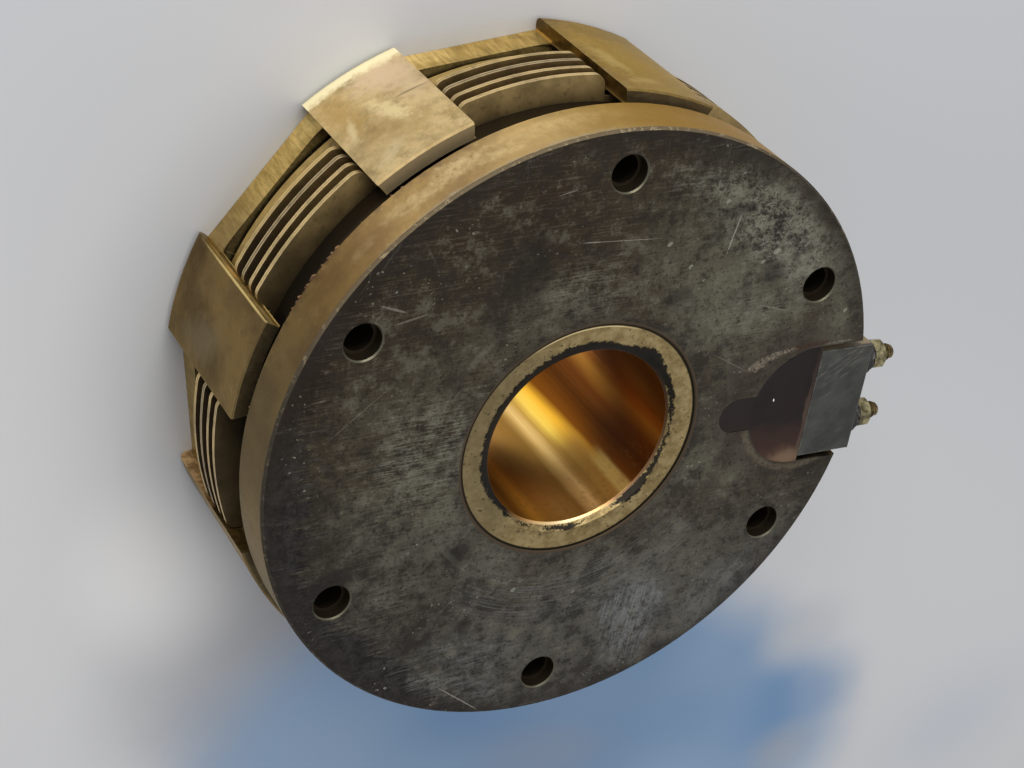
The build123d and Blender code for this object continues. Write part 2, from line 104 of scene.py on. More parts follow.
class Finish:
    """A material while it is mixed, with the place on the piece in millimetres."""

    def __init__(self, name, metallic=0):
        self.material = bpy.data.materials.new(name)
        self.material.use_nodes = True
        self.tree = self.material.node_tree
        self.shader = self.tree.nodes["Principled BSDF"]
        self.shader.inputs["Metallic"].default_value = metallic
        self.noises = {}
        self.colour = None
        coordinates = self.tree.nodes.new("ShaderNodeTexCoord")
        self.place = self.vector("SCALE", coordinates.outputs["Object"], Scale=1 / mm)
        parts = self.tree.nodes.new("ShaderNodeSeparateXYZ")
        self.wire(parts.inputs[0], self.place)
        self.x, self.y, self.z = parts.outputs
        geometry = self.tree.nodes.new("ShaderNodeNewGeometry")
        self.normal = geometry.outputs["Normal"]
        facing = self.tree.nodes.new("ShaderNodeSeparateXYZ")
        self.wire(facing.inputs[0], self.normal)
        self.facing_y, self.facing_z = facing.outputs[1:]

    def wire(self, socket, value):
        """Link a value that is another node's output, or set it on the socket."""
        if isinstance(value, bpy.types.NodeSocket):
            self.tree.links.new(value, socket)
        elif socket.type == "RGBA":
            socket.default_value = (*value, 1)
        else:
            socket.default_value = value

    def node(self, kind, *values, settings=(), output=0, **named):
        """Add a node, set it up and return one of its outputs."""
        made = self.tree.nodes.new("ShaderNode" + kind)
        for key, value in dict(settings).items():
            setattr(made, key, value)
        for index, value in enumerate(values):
            self.wire(made.inputs[index], value)
        for key, value in named.items():
            self.wire(made.inputs[key.replace("_", " ")], value)
        return made.outputs[output]

    def math(self, operation, *values):
        return self.node("Math", *values, settings={"operation": operation})

    def vector(self, operation, *values, **named):
        return self.node("VectorMath", *values, settings={"operation": operation}, **named)

    def band(self, value, start, full):
        """0 before start and 1 past full, with a smooth step between them."""
        return self.node(
            "MapRange", Value=value, From_Min=start, From_Max=full, settings={"interpolation_type": "SMOOTHSTEP"})

    def mask(self, given):
        """A mask as it is, or the band that its value, start and full in brackets stand for."""
        return self.band(*given) if isinstance(given, tuple) else given

    def joined(self, operation, masks):
        """One mask out of several, by this operation."""
        total = self.mask(masks[0])
        for given in masks[1:]:
            total = self.math(operation, total, self.mask(given))
        return total

    def both(self, *masks):
        """Where all of the masks are."""
        return self.joined("MULTIPLY", masks)

    def either(self, *masks):
        """Where any of the masks is."""
        return self.joined("MAXIMUM", masks)

    def not_in(self, mask):
        return self.math("SUBTRACT", 1, self.mask(mask))

    def line(self, value, centre, half_width, soft):
        """1 where the value is within half_width of the centre."""
        off = self.math("ABSOLUTE", self.math("SUBTRACT", value, centre))
        return self.band(off, half_width + soft, half_width)

    def radius(self):
        """Distance from the bore's axis."""
        return self.math(
            "SQRT", self.math("ADD", self.math("MULTIPLY", self.x, self.x), self.math("MULTIPLY", self.y, self.y)))

    def angle(self):
        """Angle round the bore's axis in degrees, from -180 to 180."""
        return self.math("DEGREES", self.math("ARCTAN2", self.y, self.x))

    def azimuth(self):
        """Angle round the bore's axis in degrees, from 0 to 360."""
        return self.math("MODULO", self.math("ADD", self.angle(), 360), 360)

    def unrolled(self, radius):
        """The wall at this radius rolled out flat: millimetres along the arc, then the height."""
        return self.node("CombineXYZ", self.math("MULTIPLY", self.angle(), radians(radius)), self.z, 0)

    def ramp(self, value, *stops):
        """A colour, or a number from 0 to 1, that follows the value through its stops."""
        low, high = stops[0][0], stops[-1][0]
        coloured = isinstance(stops[0][1], tuple)
        made = self.tree.nodes.new("ShaderNodeValToRGB")
        elements = made.color_ramp.elements
        for place, tone in (stops[0], stops[-1], *stops[1:-1]):
            position = (place - low) / (high - low)
            element = elements[int(position)] if position in (0, 1) else elements.new(position)
            element.color = (*tone, 1) if coloured else (1, 1, 1, tone)
        self.wire(made.inputs["Fac"], self.node("MapRange", Value=value, From_Min=low, From_Max=high))
        return made.outputs["Color" if coloured else "Alpha"]

    def noise(self, size, detail=3, roughness=0.5, stretch=(1, 1, 1), turn=0, seed=0, place=None):
        """Soft noise with features of the size in mm, drawn out along the axes and turned about Z."""
        kind = (size, detail, roughness, stretch, turn, seed, place)
        if kind not in self.noises:
            along = self.node(
                "Mapping", Vector=place or self.place, settings={"vector_type": "TEXTURE"},
                Location=tuple(seed * step for step in seed_steps), Rotation=(0, 0, radians(turn)),
                Scale=tuple(size * part for part in stretch))
            self.noises[kind] = self.node("TexNoise", Vector=along, Scale=1, Detail=detail, Roughness=roughness)
        return self.noises[kind]

    def patches(self, size, cover, soft=0.06, **how):
        """Patches of noise over about this share of the surface."""
        edge = 0.5 + (0.5 - cover) * noise_spread
        return self.band(self.noise(size, **how), edge - soft, edge + soft)

    def scratches(self, width, length, turn, cover, seed=0, place=None):
        """Fine, nearly straight lines in one direction, each width wide and about length long."""
        lines = self.noise(1, detail=1, stretch=(length, width * 6, width * 6), turn=turn, seed=seed, place=place)
        line = self.band(self.math("ABSOLUTE", self.math("SUBTRACT", lines, 0.5)), 0.016, 0.003)
        gaps = self.patches(1, cover, soft=0.02, detail=2, stretch=(length * 0.6, width * 30, width * 30),
                            turn=turn, seed=seed + 4.7, place=place)
        return self.both(line, gaps)

    def spot(self, x, y, across, along, turn=0, ragged=0.35, grain=2.5, place=None, soft=0.3):
        """One ragged patch about a point of the face, or of an unrolled wall, 1 in the middle."""
        from_spot = self.vector("SUBTRACT", place or self.place, (x, y, 0))
        cosine, sine = cos(radians(turn)), sin(radians(turn))
        off = self.vector("DOT_PRODUCT", from_spot, (cosine / across, sine / across, 0), output="Value")
        aside = self.vector("DOT_PRODUCT", from_spot, (-sine / along, cosine / along, 0), output="Value")
        reach = self.math("SQRT", self.math("MULTIPLY_ADD", off, off, self.math("MULTIPLY", aside, aside)))
        worn = self.math("MULTIPLY_ADD", self.noise(grain, detail=4, roughness=0.65), 2 * ragged, -ragged)
        return self.band(self.math("ADD", reach, worn), 1 + soft / 2, 1 - soft)

    def mix(self, mask, under, over):
        """The colour under, with the colour over it where the mask is."""
        amount = self.mask(mask)
        mixer = self.tree.nodes.new("ShaderNodeMix")
        mixer.data_type = "RGBA"
        self.wire(mixer.inputs[0], amount)
        self.wire(mixer.inputs[6], under)
        self.wire(mixer.inputs[7], over)
        return mixer.outputs[2]

    def level(self, mask, low, high):
        """A number that goes from low to high with the mask."""
        return self.math("MULTIPLY_ADD", self.mask(mask), high - low, low)

    def sway(self, value, noise, reach):
        """The value, moved to either side by up to about reach with the noise."""
        return self.math("ADD", value, self.level(noise, -reach, reach))

    def lay(self, mask, over, strength=1):
        """Lay a colour over the finish so far, at this strength where the mask is."""
        self.colour = self.mix(mask if strength == 1 else self.level(mask, 0, strength), self.colour, over)

    def edges(self, width):
        """Where a sharp edge is nearer than width, found by rounding the surface in the render."""
        rounded = self.node("Bevel", Radius=width * mm, settings={"samples": 4})
        return self.band(self.vector("DOT_PRODUCT", rounded, self.normal, output="Value"), 0.995, 0.93)

    def relief(self, *layers):
        """Bumps of the given height in mm, one (mask, height) pair after another."""
        normal = None
        for mask, height in layers:
            bump = self.tree.nodes.new("ShaderNodeBump")
            bump.inputs["Distance"].default_value = abs(height) * mm
            bump.invert = height < 0
            self.wire(bump.inputs["Height"], mask)
            if normal:
                self.wire(bump.inputs["Normal"], normal)
            normal = bump.outputs["Normal"]
        self.wire(self.shader.inputs["Normal"], normal)

    def surface(self, roughness, **sockets):
        """Put the colour, the roughness and these other sockets on the shader."""
        self.wire(self.shader.inputs["Base Color"], self.colour)
        self.wire(self.shader.inputs["Roughness"], roughness)
        for key, value in sockets.items():
            self.wire(self.shader.inputs[key.replace("_", " ")], value)
        print("finish", self.material.name, "nodes", len(self.tree.nodes))
        return self.material


def dress(name, material):
    """Give a CAD node its finish."""
    piece = nodes[name]
    for slot in piece.material_slots:
        slot.material = material


# %% [markdown]
# ## Floor, background and light
# The part was photographed on a smooth pale sheet that turns blue in the shade at the foot of the picture. One plane
# fills the view. Painted shadow in its colour gives that blue shade and a grey shadow beside the part, and painted
# light makes the sheet paler towards the foot of the picture and in a few patches. A wide window stands low on the
# side of the bright claws, so the rim and the claws are lit and the face only grazed, and its shadow falls towards the
# bottom of the picture, where the photograph has it. The photographed brake stood on its rim with the room behind its
# bore, which made the bronze glow. Here it stands on its back, so a small lamp under the bore gives that light.

# %% Floor, with painted shadow and light
floor_size = 6
floor_drop = 0.0001
pale_sheet = (0.515, 0.53, 0.555)
# The near colour is painted light; the grey, blue and deep colours are painted shadow.
lit_near_sheet = (0.615, 0.62, 0.63)
grey_shadow_sheet = (0.365, 0.37, 0.39)
blue_shadow_sheet = (0.265, 0.372, 0.525)
deep_shadow_sheet = (0.147, 0.268, 0.455)

ops.mesh.primitive_plane_add(size=floor_size, location=(0, 0, -floor_drop))
floor = bpy.context.object
floor.name = "floor_sheet"
ops.object.transform_apply(location=True)
sheet = Finish("floor_sheet")
# Painted shadow: a blue shade below the part and a grey shadow beside it.
painted_blue_shadow = sheet.spot(56, -186, 142, 84, -13.6, ragged=0.14, grain=110, soft=0.28)
painted_grey_shadow = sheet.spot(-50, -126, 54, 46, -20, ragged=0.2, grain=60, soft=0.7)
cloud = sheet.noise(150, detail=2)
# Painted light: the sheet grows paler towards -Y.
near = sheet.band(sheet.math("ADD", sheet.y, sheet.math("MULTIPLY", sheet.x, 0.25)), 90, -110)
sheet.colour = sheet.mix(near, pale_sheet, lit_near_sheet)
sheet.lay(painted_grey_shadow, grey_shadow_sheet, 0.85)
sheet.lay(painted_blue_shadow, sheet.mix((cloud, 0.35, 0.65), blue_shadow_sheet, deep_shadow_sheet))
# Painted light and shadow in patches: the pale ones at (-90, -76) and (163, -156) lighten the sheet, the others darken
# it.
floor_light_and_shadow_spots = (
    (-90, -76, 24, 32, 20, 0.6, (0.86, 0.85, 0.84)), (163, -156, 20, 15, 20, 0.8, pale_sheet),
    (180, -186, 18, 15, 0, 0.4, deep_shadow_sheet), (166, -214, 15, 14, 0, 0.5, grey_shadow_sheet),
    (252, -222, 44, 32, 20, 0.45, (0.47, 0.525, 0.6)), (60, -186, 30, 14, -14, 0.35, grey_shadow_sheet))
for *where, strength, colour in floor_light_and_shadow_spots:
    sheet.lay(sheet.spot(*where, ragged=0.2, grain=60, soft=0.9), colour, strength)
floor.data.materials.append(sheet.surface(0.55, Specular_IOR_Level=0.3))
print("floor", floor_size, "m square")

# %% Lights
def lamp(name, azimuth, elevation, distance, width, height, power, colour):
    """A soft rectangular lamp that points at the part."""
    data = bpy.data.lights.new(name, "AREA")
    data.shape = "RECTANGLE"
    data.size, data.size_y = width, height
    data.energy = power
    data.color = colour
    lit = bpy.data.objects.new(name, data)
    turn, rise = radians(azimuth), radians(elevation)
    aim = Vector((0, 0, 0.04))
    lit.location = aim + distance * Vector((cos(rise) * cos(turn), cos(rise) * sin(turn), sin(rise)))
    lit.rotation_euler = (aim - lit.location).to_track_quat("-Z", "Y").to_euler()
    bpy.context.collection.objects.link(lit)
    print("lamp", name, "power", power)
    return lit


lamp("window", 104, 24, 1.2, 1, 0.5, 11, (1, 0.96, 0.9))
lamp("ceiling", 60, 76, 1.5, 0.9, 0.9, 8, (1, 0.98, 0.95))
lamp("bore_glow", 0, -90, 0.038, 0.034, 0.034, 0.0036, (1, 0.92, 0.74)).visible_camera = False

world = bpy.data.worlds.new("room")
bpy.context.scene.world = world
world.use_nodes = True
room = world.node_tree.nodes["Background"]
room.inputs["Color"].default_value = (0.92, 0.945, 1, 1)
room.inputs["Strength"].default_value = 0.42
bpy.context.scene.view_settings.view_transform = "Standard"

# %% [markdown]
# ## The mounting face and the rim
# The magnet body is one turned steel piece with two looks. Its face is dark, oil-stained steel, brown at the top and
# greyer below, scraped in all directions, with pale blotches like lichen where rust was wiped and patches of painted
# sheen. Its rim kept a thin brass-coloured varnish, with painted highlights and painted shade on its sides. One
# material serves both, and the way that the surface points decides between them.

# %% Ground tones of the face
steel = Finish("scraped_steel")
on_face = steel.both((steel.facing_z, 0.8, 0.95), (steel.z, 71, 71.8))
radius = steel.radius()
bearing = steel.azimuth()

face_height = 72
dark_oil = (0.014, 0.0115, 0.0095)
brown_steel = (0.046, 0.0345, 0.0205)
grey_steel = (0.09, 0.081, 0.056)
top_brown = (0.0225, 0.0138, 0.0066)
cool_steel = (0.078, 0.0755, 0.066)
pale_steel = (0.2, 0.195, 0.15)
cold_pale = (0.215, 0.225, 0.225)

wiped = steel.noise(30, detail=5, roughness=0.6, seed=2)
mottle = steel.noise(2.8, detail=7, roughness=0.8, seed=5)
brushed = steel.noise(1, detail=5, roughness=0.7, stretch=(9, 0.6, 1), turn=3, seed=7)
crossed = steel.noise(1, detail=5, roughness=0.65, stretch=(0.6, 12, 1), turn=-4, seed=8)
cloudy = steel.level(wiped, -32, 32)
up_left = steel.math("ADD", steel.math("MULTIPLY_ADD", steel.x, -0.6, steel.y), cloudy)
downwards = steel.math("SUBTRACT", cloudy, steel.y)
steel.colour = steel.mix((wiped, 0.38, 0.62), brown_steel, grey_steel)
steel.lay((up_left, 30, 85), top_brown, 0.85)
steel.lay((downwards, 10, 70), cool_steel, 0.75)
steel.lay((brushed, 0.5, 0.7), (0.165, 0.147, 0.105), 0.34)
steel.lay(steel.both((crossed, 0.54, 0.74), (wiped, 0.44, 0.6)), (0.165, 0.15, 0.112), 0.3)
down_left = steel.math("MULTIPLY_ADD", steel.x, -1, steel.math("MULTIPLY", steel.y, -0.8))
steel.lay((steel.math("ADD", down_left, cloudy), 57, 104), (0.024, 0.0205, 0.0145), 0.75)
steel.lay((brushed, 0.46, 0.3), dark_oil, 0.4)
steel.lay((mottle, 0.47, 0.37), (0.0145, 0.012, 0.0085), 0.78)
steel.lay((mottle, 0.54, 0.66), (0.155, 0.143, 0.104), 0.52)

# %% Wiped and stained places on the face, and painted sheen
blot = steel.noise(8.5, detail=7, roughness=0.74, seed=19)
steel.lay((blot, 0.5, 0.4), (0.019, 0.0155, 0.011), 0.7)
steel.lay((blot, 0.52, 0.66), (0.15, 0.139, 0.102), 0.46)
blotch_pattern = steel.both(
    steel.patches(2.4, 0.56, soft=0.12, detail=7, roughness=0.8, seed=21),
    steel.not_in(steel.patches(1.2, 0.22, soft=0.04, seed=22)))
textures = {"blotch": blotch_pattern, "level": steel.band(steel.math("ADD", brushed, mottle), 0.9, 1.14),
            "upright": steel.band(steel.math("ADD", crossed, mottle), 0.9, 1.14)}
# Pale places: wiped steel, and painted sheen in the patches near (50, 58) and (29, -64).
pale_and_sheen_places = (
    (28, -66, 11, 17, 0, 0.55, "upright", cold_pale), (30, -62, 10, 13, 30, 0.35, "blotch", cold_pale),
    (47, 63, 26, 13, -38, 0.8, "blotch", pale_steel), (62, 49, 14, 10, -50, 0.75, "blotch", pale_steel),
    (50, 58, 22, 11, -40, 0.5, "level", pale_steel), (24, 76, 12, 5, -6, 0.45, "level", pale_steel),
    (48, 34, 12, 9, 8, 0.35, "level", pale_steel), (78, 25, 7, 9, 20, 0.25, "blotch", pale_steel),
    (-27, -79, 25, 5.5, -21, 0.35, "level", cold_pale), (-51, -44, 12, 8, 35, 0.25, "level", pale_steel),
    (-45, 3, 17, 20, 10, 0.56, "level", pale_steel), (58, -62, 18, 9, 48, 0.28, "blotch", cold_pale),
    (38, 40, 15, 11, 20, 0.25, "blotch", pale_steel), (-57, -12, 12, 26, 0, 0.14, "level", pale_steel),
    (-22, -24, 15, 18, 0, 0.22, "blotch", pale_steel), (-24, -68, 17, 7, -10, 0.28, "level", cold_pale),
    (-6, 47, 16, 9, 0, 0.34, "level", pale_steel))
dark_places = (
    (-33, -31, 5.5, 4, 20, 0.8), (-4, 42, 9, 4, 15, 0.25), (-24, 56, 7, 15, 0, 0.6), (-30, 50, 12, 5, 70, 0.5),
    (22, 42, 5, 3, 0, 0.6), (30, 84, 34, 5, -16, 0.5), (84, -24, 7, 12, 10, 0.45), (47, 10, 9, 12, 0, 0.2),
    (62, -38, 10, 13, 0, 0.2), (-74, -36, 13, 7, 20, 0.75), (52, 46, 4, 5, 30, 0.7), (36, 66, 7, 3, 10, 0.6))
for *where, strength, kind, colour in pale_and_sheen_places:
    steel.lay(steel.both(steel.spot(*where, ragged=0.75, grain=5, soft=0.7), textures[kind]), colour, strength)
for *where, strength in dark_places:
    steel.lay(steel.spot(*where, ragged=0.8, grain=5, soft=0.7), dark_oil, strength)

# %% Turning arcs, the dark crescent with its hatched edge, and the ring round the bush
arc_grain = steel.noise(
    1, detail=4, roughness=0.7, stretch=(16, 0.6, 1), seed=23, place=steel.node("CombineXYZ", bearing, radius, 0))
arcs = steel.both(steel.line(radius, 52, 5, 5), steel.line(bearing, 280, 26, 30), (arc_grain, 0.48, 0.62))
steel.lay(arcs, cold_pale, 0.28)
hatch = steel.noise(1, roughness=0.6, stretch=(9, 0.75, 1), turn=4, seed=9)
crescent_start = steel.ramp(
    bearing, (100, 0.95), (122, 0.905), (134, 0.88), (142, 0.853), (150, 0.87), (160, 0.842), (170, 0.838),
    (182, 0.8), (193, 0.8), (202, 0.86), (212, 0.85), (222, 0.8), (234, 0.805), (242, 0.86), (252, 0.92), (262, 0.97))
hatched = steel.sway(radius, hatch, 17)
crescent = steel.band(steel.math("SUBTRACT", hatched, steel.math("MULTIPLY", crescent_start, 100)), -0.7, 1)
crescent_tone = steel.mix((mottle, 0.4, 0.62), (0.0085, 0.0074, 0.0068), (0.036, 0.032, 0.029))
crescent_tone = steel.mix(steel.level((up_left, 40, 80), 0, 0.8), crescent_tone, (0.0165, 0.0098, 0.0045))
steel.lay(crescent, crescent_tone, 0.96)
pitted = steel.both(
    steel.spot(43, 64, 28, 13, -35, ragged=0.8, grain=5, soft=0.7), (mottle, 0.52, 0.46), (blot, 0.6, 0.5))
steel.lay(pitted, dark_oil, 0.85)
rim_dark = steel.both((radius, 84, 91.5), steel.patches(14, 0.7, soft=0.12, seed=4))
steel.lay(rim_dark, (0.02, 0.0155, 0.0125), 0.6)
bush_shade = steel.both((radius, 41, 36.4), steel.patches(8, 0.7, soft=0.1, seed=6))
steel.lay(bush_shade, dark_oil, 0.45)
steel.lay((radius, 36.9, 36.4), (0.016, 0.011, 0.007), 0.4)
ring_mark = steel.both(steel.line(radius, 47.5, 0.4, 1), steel.patches(22, 0.35, soft=0.1, seed=10))
steel.lay(ring_mark, pale_steel, 0.22)

# %% Stain and crust round the poured resin
resin_reach = steel.spot(70, 2, 30, 27, ragged=0.6, grain=9)
steel.lay(resin_reach, (0.04, 0.031, 0.022), 0.55)
crust_places = (54.3, 16.2, 3.3, 1.7, 25), (59.2, 18.5, 3.6, 1.2, 14), (64, 19.6, 3, 0.7, 6), (80.5, 20.3, 5, 0.4, 1)
crust = steel.either(*(steel.spot(*where, ragged=0.8, grain=1.6) for where in crust_places))
crumbly = steel.noise(1.1, detail=6, roughness=0.85, seed=40)
crust = steel.both(crust, (crumbly, 0.44, 0.54))
steel.lay(crust, (0.235, 0.195, 0.145), 0.85)
from_resin = steel.vector("DISTANCE", steel.place, (75, 0, face_height), output="Value")
pale_border = steel.both(steel.line(from_resin, 21, 0.4, 1.1), (steel.y, -3, -7), (crumbly, 0.36, 0.58))
steel.lay(pale_border, (0.15, 0.122, 0.08), 0.55)
steel.lay(steel.spot(71.5, 20.4, 7, 0.9, 4, ragged=0.9, grain=2), (0.048, 0.024, 0.014), 0.7)

# %% Scratches and specks
scratched = steel.scratches(0.09, 34, 2, 0.2, seed=3.1)
for number, turn in enumerate((58, 117, 88)):
    scratched = steel.either(scratched, steel.scratches(0.08, 26, turn, 0.12, seed=6.2 + number))
steel.lay(scratched, (0.26, 0.25, 0.21), 0.17)
long_scratches = (
    (35.1, 52.8, 37.4, 65.1, 0.24, 0.8), (-10.6, 61.5, 14.6, 60.3, 0.1, 0.7), (-10.6, 61.5, -4, 61.2, 0.15, 0.7),
    (-20, 75.7, -14.8, 76.9, 0.13, 0.6), (-33.4, -77.3, -18.2, -89.6, 0.18, 0.8), (38, 22, 52, 14, 0.12, 0.35),
    (-76, 12, -60, 26, 0.12, 0.35), (60, 33, 50, 36, 0.2, 0.4), (-66, 50, -58, 47, 0.35, 0.45),
    (-61, 44, -52, 46, 0.3, 0.35))
for x0, y0, x1, y1, width, strength in long_scratches:
    length = hypot(x1 - x0, y1 - y0)
    line = steel.spot((x0 + x1) / 2, (y0 + y1) / 2, length / 2, width, degrees(atan2(y1 - y0, x1 - x0)),
                      ragged=0.4, grain=1.5)
    steel.lay(line, (0.4, 0.37, 0.31), 0.7 * strength)
specks = steel.both(steel.patches(1.2, 0.014, soft=0.04, detail=1, seed=12), steel.patches(18, 0.3, seed=13))
for x, y, size in ((16.4, 58.3, 0.9), (24.4, 50.8, 0.8), (32.2, 69.3, 0.8), (47.9, 49.7, 0.8), (51.7, 52.5, 1.3),
                   (-13.5, -47.4, 0.9), (80.5, 30.7, 0.8)):
    specks = steel.either(specks, steel.spot(x, y, size, 0.7 * size, 40, ragged=0.5, grain=0.8))
steel.lay(specks, (0.32, 0.32, 0.25), 0.55)
steel.lay(steel.patches(0.9, 0.09, soft=0.04, detail=1, seed=18), (0.01, 0.009, 0.008), 0.75)

# %% Rim of the magnet body
body_radius = 92.5
body_arc = radians(body_radius)
wall = steel.unrolled(body_radius)
turned = steel.noise(1, detail=4, roughness=0.7, stretch=(60, 60, 0.35), seed=14)
rim_patch = steel.noise(15, detail=5, roughness=0.6, seed=15)
face = steel.colour
steel.colour = steel.mix((rim_patch, 0.36, 0.64), (0.25, 0.148, 0.04), (0.5, 0.325, 0.09))
steel.lay((turned, 0.5, 0.78), (0.66, 0.47, 0.18), 0.28)
rim_fleck = steel.noise(2.4, detail=5, roughness=0.7, seed=24)
steel.lay((rim_fleck, 0.56, 0.7), (0.74, 0.56, 0.26), 0.35)
steel.lay((rim_fleck, 0.42, 0.3), (0.13, 0.082, 0.034), 0.35)
rim_glints = ((124.8, 64.5, 8, 2.6, 0.6), (130, 62.6, 6, 2, 0.5), (138, 64.4, 5, 1.6, 0.4), (118.5, 62, 8, 4, 0.85),
              (103, 61, 14, 2.4, 0.5), (88, 62.4, 20, 3.4, 0.3), (111, 66, 6, 2.2, 0.6), (110, 63.5, 26, 5, 0.35))
for azimuth, *where, strength in rim_glints:
    glint = steel.spot(azimuth * body_arc, *where, ragged=1, grain=3, place=wall, soft=0.9)
    steel.lay(steel.both(glint, (rim_fleck, 0.24, 0.64)), (0.98, 0.78, 0.39), strength)
steel.lay(steel.both((steel.z, 60, 56.4), steel.patches(3, 0.5, soft=0.14, seed=16)), (0.07, 0.045, 0.024), 0.75)
# Sectors round the rim: painted light at 97 degrees and painted shade at 212 degrees, with tan, brown and orange tones
# at 122, 147 and 62 degrees.
rim_sectors_light_shade_and_tone = (
    (122, 12, 14, (0.62, 0.41, 0.21), 0.35), (97, 9, 14, (0.88, 0.62, 0.25), 0.4),
    (147, 8, 9, (0.215, 0.112, 0.036), 0.45), (212, 38, 50, (0.086, 0.062, 0.035), 0.88),
    (62, 20, 24, (0.35, 0.18, 0.008), 0.88))
for *sector, colour, strength in rim_sectors_light_shade_and_tone:
    steel.lay(steel.line(bearing, *sector), colour, strength)
dusty = steel.spot(196 * body_arc, 66, 21, 5, ragged=0.6, grain=6, place=wall, soft=0.9)
steel.lay(dusty, (0.23, 0.205, 0.18), 0.7)
# Painted shade on the underside of the rim, round 290 degrees.
steel.lay(steel.line(bearing, 290, 60, 30), (0.06, 0.048, 0.036), 0.7)
# Painted shade under the flange, on the body inside radius 91.9.
steel.lay((radius, 91.9, 90), (0.028, 0.023, 0.017))
edge_grain = steel.noise(1.8, detail=5, roughness=0.7, seed=25)
front_edge = steel.both((steel.sway(steel.z, edge_grain, 0.5), 70.75, 71.15), (radius, 91.6, 91.9))
# Painted light on the side round 108 degrees, for the front chamfer.
lit_side = steel.line(bearing, 108, 34, 26)
# Pale band behind the front edge round 112 degrees: rubbed varnish with painted light.
rubbed_and_lit_edge = steel.both((steel.sway(steel.z, rim_fleck, 3), 69.2, 71.6), steel.line(bearing, 112, 12, 18))
steel.lay(rubbed_and_lit_edge, (0.5, 0.43, 0.31), 0.6)
# The front chamfer's tone: painted light on the lit side, painted shade elsewhere, and worn spots, stronger on the lit
# side.
lit_and_shaded_edge_tone = steel.mix(lit_side, (0.045, 0.038, 0.029), (0.12, 0.093, 0.056))
worn_and_lit_edge = steel.both((edge_grain, 0.52, 0.66), steel.level(lit_side, 0.3, 0.7))
lit_and_shaded_edge_tone = steel.mix(worn_and_lit_edge, lit_and_shaded_edge_tone, (0.33, 0.265, 0.165))

# %% Holes with painted shade, and the magnet body put together
in_hole = steel.both((steel.facing_z, 0.99, 0.95), (radius, 88, 86), (steel.z, 50, 56))
hole_floor = steel.both((steel.z, 71, 69.5), (radius, 88, 86), (steel.z, 46, 47))
hole_mouth = steel.both((steel.z, 71.3, 71.7), (steel.facing_z, 0.95, 0.85))
rim = steel.colour
steel.colour = steel.mix(on_face, rim, face)
front_chamfer_band = steel.both(front_edge, steel.not_in(on_face))
steel.lay(front_chamfer_band, lit_and_shaded_edge_tone)
# Painted shade inside the holes, on their walls and floors.
steel.lay(steel.either(in_hole, hole_floor), (0.046, 0.036, 0.023), 0.97)
steel.lay(steel.both(hole_mouth, in_hole), (0.17, 0.16, 0.115), 0.8)
bore_lip = steel.both((radius, 37, 36.8), (steel.z, 70.5, 71.4))
lip_tone = steel.mix((steel.z, 71.6, 71.8), (0.004, 0.003, 0.002), (0.058, 0.041, 0.026))
steel.lay(bore_lip, lip_tone, 0.95)
bare_edge = steel.either(front_chamfer_band, bore_lip)
body_rough = steel.math("ADD", steel.level(on_face, 0.32, 0.44), steel.level(mottle, -0.1, 0.18))
body_rough = steel.math("ADD", body_rough, steel.level(bare_edge, 0, 0.22))
steel.relief((mottle, 0.05), (brushed, 0.02), (turned, 0.015))
body_metal = steel.math("SUBTRACT", steel.level(on_face, 0.76, 0.3), steel.level(bare_edge, 0, 0.55))
face_tint = steel.mix((up_left, 0, 60), (1, 1, 1), (1, 0.9, 0.78))
body_steel = steel.surface(
    body_rough, Metallic=body_metal, Specular_IOR_Level=steel.level(bare_edge, 0.24, 0.12),
    Specular_Tint=steel.mix(on_face, (1, 0.88, 0.66), face_tint))
dress("magnet_body", body_steel)

# %% [markdown]
# ## The driver
# The claws and the edge of the driver's plate are bronzed steel: brown and gold, with the varnish rubbed to a pale
# sand colour where hands and tools reach. The claw that faces the window carries painted light and painted highlights,
# and the claws turned away from it painted shade, so they stay brown. Turning marks run round them, and the sawn flats
# have fine cross lines.

# %% Tones of the claws
driver = Finish("bronzed_driver", metallic=0.75)
radius = driver.radius()
bearing = driver.azimuth()
claw_radius = 94
claw_arc = radians(claw_radius)
wall = driver.unrolled(claw_radius)
outside = driver.band(radius, 90, 90.6)
brown_varnish = (0.215, 0.13, 0.036)
gold_varnish = (0.47, 0.315, 0.085)
rubbed_and_lit_gold = (0.9, 0.69, 0.355)
tone = driver.noise(20, detail=4, roughness=0.55, seed=1)
fine_tone = driver.noise(2.4, detail=6, roughness=0.68, seed=2)
brushed = driver.noise(1, detail=5, roughness=0.6, stretch=(9, 0.7, 1), turn=28, seed=3, place=wall)
driver.colour = driver.mix((tone, 0.36, 0.64), brown_varnish, gold_varnish)
driver.lay((brushed, 0.5, 0.75), rubbed_and_lit_gold, 0.35)
driver.lay((fine_tone, 0.54, 0.66), (0.66, 0.48, 0.2), 0.45)
driver.lay((fine_tone, 0.44, 0.32), (0.12, 0.078, 0.03), 0.45)
# Painted light on the claw that faces the window, round 119 degrees, laid on in patches with the rubbed colour.
window_lit_claw = driver.line(bearing, 119, 12, 8)
lit_patches = driver.patches(13, 0.66, soft=0.2, detail=5, roughness=0.62, seed=4)
driver.lay(driver.level(driver.both(lit_patches, window_lit_claw), 0.25, 0.92),
           driver.mix(window_lit_claw, driver.colour, rubbed_and_lit_gold))
lit_claw_grain = driver.both(window_lit_claw, (fine_tone, 0.5, 0.4))
driver.lay(lit_claw_grain, (0.5, 0.35, 0.15), 0.38)
wear = driver.patches(9, 0.28, soft=0.16, detail=5, roughness=0.6, seed=5)
driver.lay(wear, rubbed_and_lit_gold, 0.3)
dirt = driver.patches(7, 0.24, soft=0.14, detail=5, roughness=0.65, seed=6)
driver.lay(dirt, (0.095, 0.06, 0.026), 0.4)

